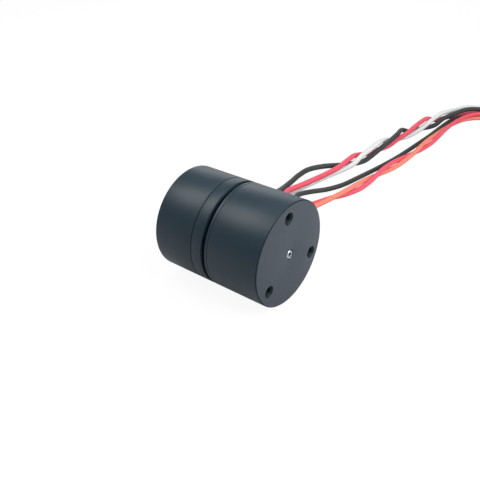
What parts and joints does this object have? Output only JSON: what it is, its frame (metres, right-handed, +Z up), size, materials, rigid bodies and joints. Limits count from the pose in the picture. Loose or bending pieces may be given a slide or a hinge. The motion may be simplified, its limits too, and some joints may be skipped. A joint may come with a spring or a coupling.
{
  "type": "gimbal motor",
  "caption": "Small brushless outrunner with a hollow-faced rotor bell, a rear encoder cover, and phase and encoder leads that end in connectors.",
  "frame": {"origin": "centre of the rear mounting face, on the shaft axis", "axes": "+X along the shaft from the rear face to the rotor face, +Z up, the leads leave on the +Y side; the motor lies on its side on the plane z = -0.0125 m"},
  "size_m": [0.0618, 0.1921, 0.025],
  "materials": {
    "black_anodised": "satin black anodised",
    "plated_steel": "nickel plated",
    "bearing_steel": "ground and polished",
    "brass": "bright stamped",
    "tinned_contact": "tin plated",
    "holder_aluminium": "turned",
    "blackened_steel": "black oxide",
    "core_steel": "bonded laminations",
    "white_nylon": "moulded",
    "enamelled_copper": "enamelled wire",
    "black_sleeve": "moulded",
    "board_green": "solder mask",
    "chip_black": "moulded epoxy",
    "component_tan": "fired",
    "grommet_rubber": "moulded",
    "black_silicone": "extruded silicone",
    "red_silicone": "extruded silicone",
    "white_silicone": "extruded silicone",
    "orange_silicone": "extruded silicone"
  },
  "bodies": {
    "housing": {"rear_cover": "black_anodised", "stator_base": "black_anodised", "stator_core": "core_steel", "insulator_front": "white_nylon", "insulator_rear": "white_nylon", "winding_phase_a": "enamelled_copper", "winding_phase_b": "enamelled_copper", "winding_phase_c": "enamelled_copper", "winding_joints": "black_sleeve", "cover_screws": "blackened_steel", "board_screws": "bearing_steel", "encoder_board": "board_green", "encoder_chip": "chip_black", "board_components": "component_tan", "wire_grommet": "grommet_rubber", "front_bearing_outer_race": "bearing_steel", "front_bearing_shields": "bearing_steel", "rear_bearing_outer_race": "bearing_steel", "rear_bearing_shields": "bearing_steel", "phase_wire_black": "black_silicone", "phase_wire_red": "red_silicone", "phase_wire_white": "white_silicone", "encoder_wire_black": "black_silicone", "encoder_wire_red": "red_silicone", "encoder_wire_orange": "orange_silicone", "phase_connector": "black_sleeve", "phase_contacts": "brass", "encoder_connector": "white_nylon", "encoder_contacts": "tinned_contact"},
    "rotor": {"rotor_bell": "black_anodised", "flux_ring": "plated_steel", "magnet_1": "plated_steel", "magnet_2": "plated_steel", "magnet_3": "plated_steel", "magnet_4": "plated_steel", "magnet_5": "plated_steel", "magnet_6": "plated_steel", "magnet_7": "plated_steel", "magnet_8": "plated_steel", "magnet_9": "plated_steel", "magnet_10": "plated_steel", "magnet_11": "plated_steel", "magnet_12": "plated_steel", "magnet_13": "plated_steel", "magnet_14": "plated_steel", "shaft": "bearing_steel", "retaining_clip": "bearing_steel", "front_shim": "brass", "rear_shim": "brass", "magnet_holder": "holder_aluminium", "encoder_magnet": "plated_steel", "front_bearing_inner_race": "bearing_steel", "rear_bearing_inner_race": "bearing_steel"},
    "front_ball_set": {"front_bearing_balls": "bearing_steel", "front_bearing_cage": "brass"},
    "rear_ball_set": {"rear_bearing_balls": "bearing_steel", "rear_bearing_cage": "brass"}
  },
  "joints": [
    {"name": "rotor_spin", "type": "hinge", "parent": "housing", "child": "rotor", "pos_m": [0, 0, 0], "axis": [1, 0, 0], "continuous": true},
    {"name": "front_ball_orbit", "type": "hinge", "parent": "housing", "child": "front_ball_set", "pos_m": [0, 0, 0], "axis": [1, 0, 0], "continuous": true},
    {"name": "rear_ball_orbit", "type": "hinge", "parent": "housing", "child": "rear_ball_set", "pos_m": [0, 0, 0], "axis": [1, 0, 0], "continuous": true}
  ],
  "couplings": [
    {"joint": "front_ball_orbit", "follows": "rotor_spin", "ratio": 0.35},
    {"joint": "rear_ball_orbit", "follows": "rotor_spin", "ratio": 0.35}
  ]
}
